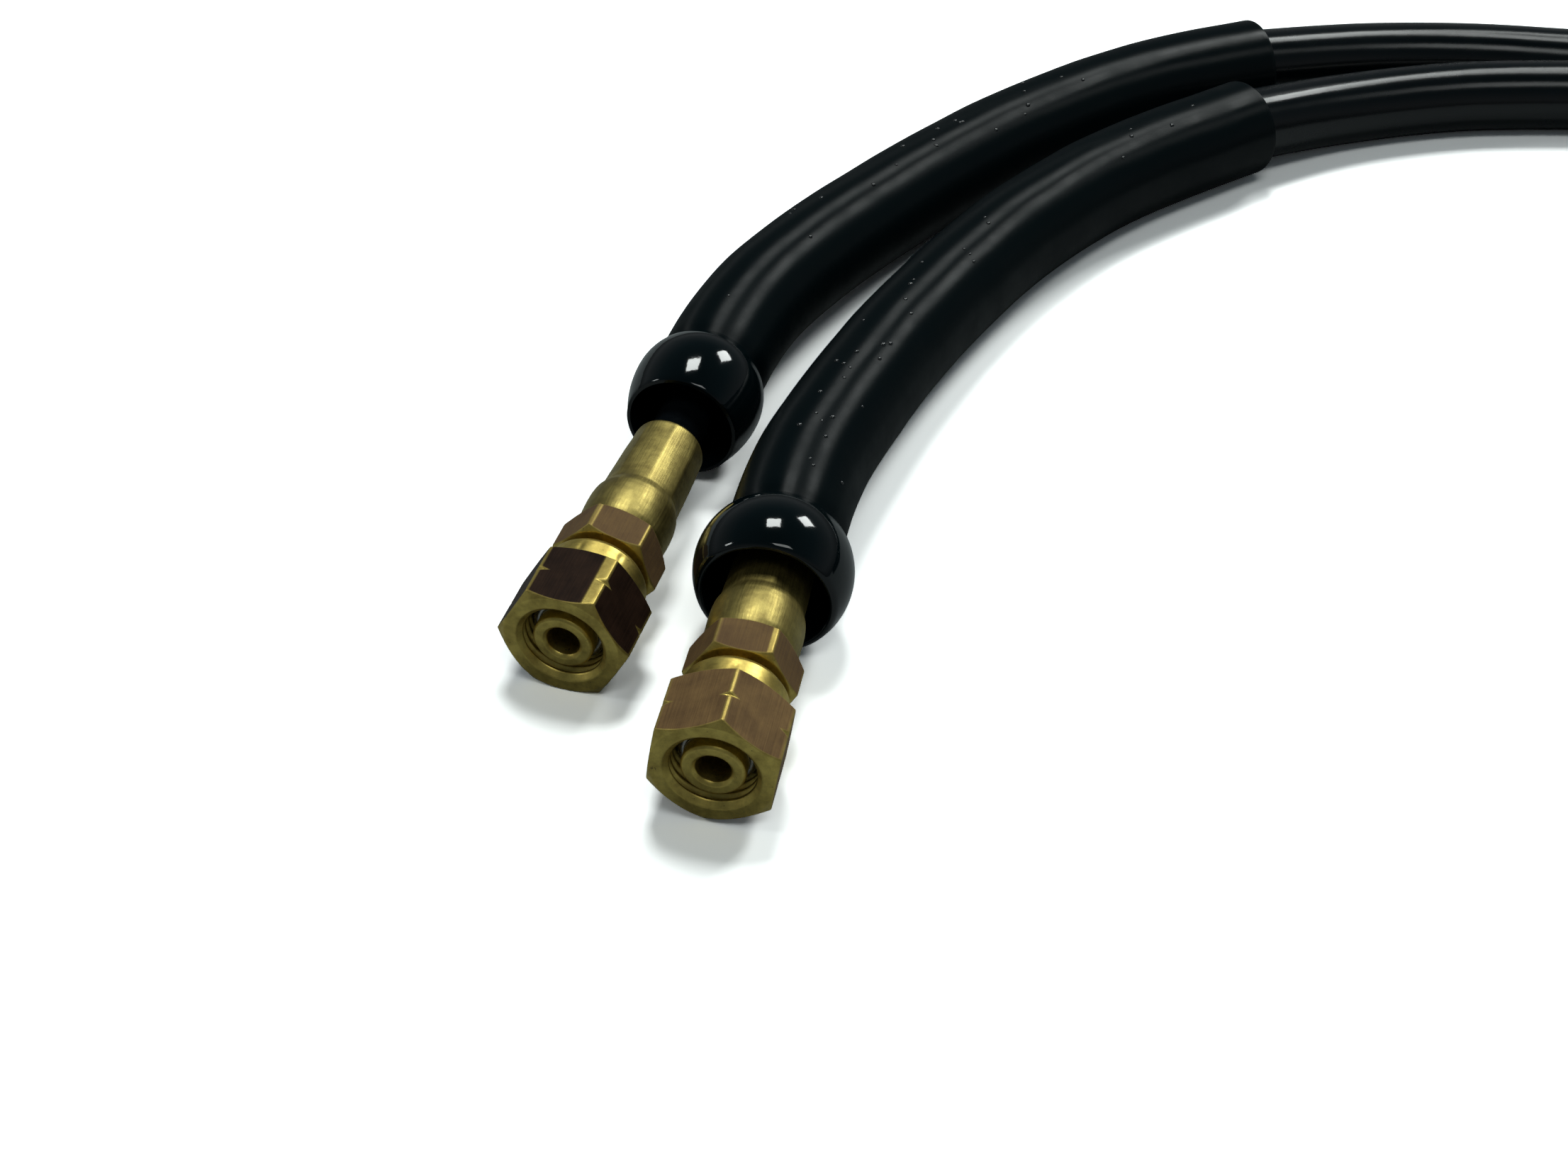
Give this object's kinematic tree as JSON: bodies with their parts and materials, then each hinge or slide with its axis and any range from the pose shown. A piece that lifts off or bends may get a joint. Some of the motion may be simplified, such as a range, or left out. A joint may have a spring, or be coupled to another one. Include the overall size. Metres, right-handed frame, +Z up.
{
  "type": "hose assembly",
  "caption": "Small-bore hose inside a glossy black conduit, coiled, each end with a ball-mouthed sleeve, a crimped brass ferrule, a hexagonal tail and a swivel nut.",
  "frame": {"origin": "on the floor, under the middle of the two hose ends' box, from the nuts to where the sleeves stop", "axes": "+Z up from the floor it lies on, +Y roughly from the nuts along the sleeves, +X towards the coil"},
  "size_m": [0.4184, 0.2119, 0.0274],
  "materials": {
    "nut_brass": "machined hex bar, its flats skinned with a thin brown oxide, turned faces bright",
    "ring_steel": "drawn spring wire",
    "tail_brass": "turned, with light oxide",
    "ferrule_brass": "polished and crimped",
    "hose_liner": "smooth extruded liner",
    "hose_yarn": "braided yarn",
    "hose_cover": "smooth glossy cover",
    "sleeve_rubber": "glossy moulded sleeve, slightly wavy",
    "conduit_plastic": "smooth extruded conduit, very glossy",
    "tie_strap": "satin strap"
  },
  "bodies": {
    "hose_run": {"bell_sleeve_left": "sleeve_rubber", "conduit_end_left": "conduit_plastic", "inner_hose_run_left": "hose_cover", "conduit_run_left": "conduit_plastic", "bell_sleeve_right": "sleeve_rubber", "conduit_end_right": "conduit_plastic", "inner_hose_run_right": "hose_cover", "conduit_run_right": "conduit_plastic", "conduit_coil": "conduit_plastic", "coil_tie_1": "tie_strap", "coil_tie_2": "tie_strap"},
    "hose_end_left": {"hose_tail_left": "tail_brass", "crimp_ferrule_left": "ferrule_brass", "hose_core_left": "hose_liner", "hose_braid_left": "hose_yarn", "hose_cover_left": "hose_cover"},
    "nut_ring_left": {"retaining_ring_left": "ring_steel"},
    "nut_left": {"swivel_nut_left": "nut_brass"},
    "hose_end_right": {"hose_tail_right": "tail_brass", "crimp_ferrule_right": "ferrule_brass", "hose_core_right": "hose_liner", "hose_braid_right": "hose_yarn", "hose_cover_right": "hose_cover"},
    "nut_ring_right": {"retaining_ring_right": "ring_steel"},
    "nut_right": {"swivel_nut_right": "nut_brass"}
  },
  "joints": [
    {"name": "hose_slide_left", "type": "slide", "parent": "hose_run", "child": "hose_end_left", "axis": [0.295, 0.9547, 0.04], "range_m": [0, 0.0175]},
    {"name": "nut_spin_left", "type": "hinge", "parent": "hose_end_left", "child": "nut_ring_left", "pos_m": [-0.0562, -0.07176, 0.00873], "axis": [0.295, 0.9547, 0.04], "continuous": true},
    {"name": "nut_slide_left", "type": "slide", "parent": "nut_ring_left", "child": "nut_left", "axis": [-0.295, -0.9547, -0.04], "range_m": [-0.001, 0.0066]},
    {"name": "hose_slide_right", "type": "slide", "parent": "hose_run", "child": "hose_end_right", "axis": [0.198, 0.979, 0.0483], "range_m": [-0.0175, 0]},
    {"name": "nut_spin_right", "type": "hinge", "parent": "hose_end_right", "child": "nut_ring_right", "pos_m": [-0.03509, -0.09827, 0.00984], "axis": [0.198, 0.979, 0.0483], "continuous": true},
    {"name": "nut_slide_right", "type": "slide", "parent": "nut_ring_right", "child": "nut_right", "axis": [-0.198, -0.979, -0.0483], "range_m": [-0.001, 0.0066]}
  ]
}
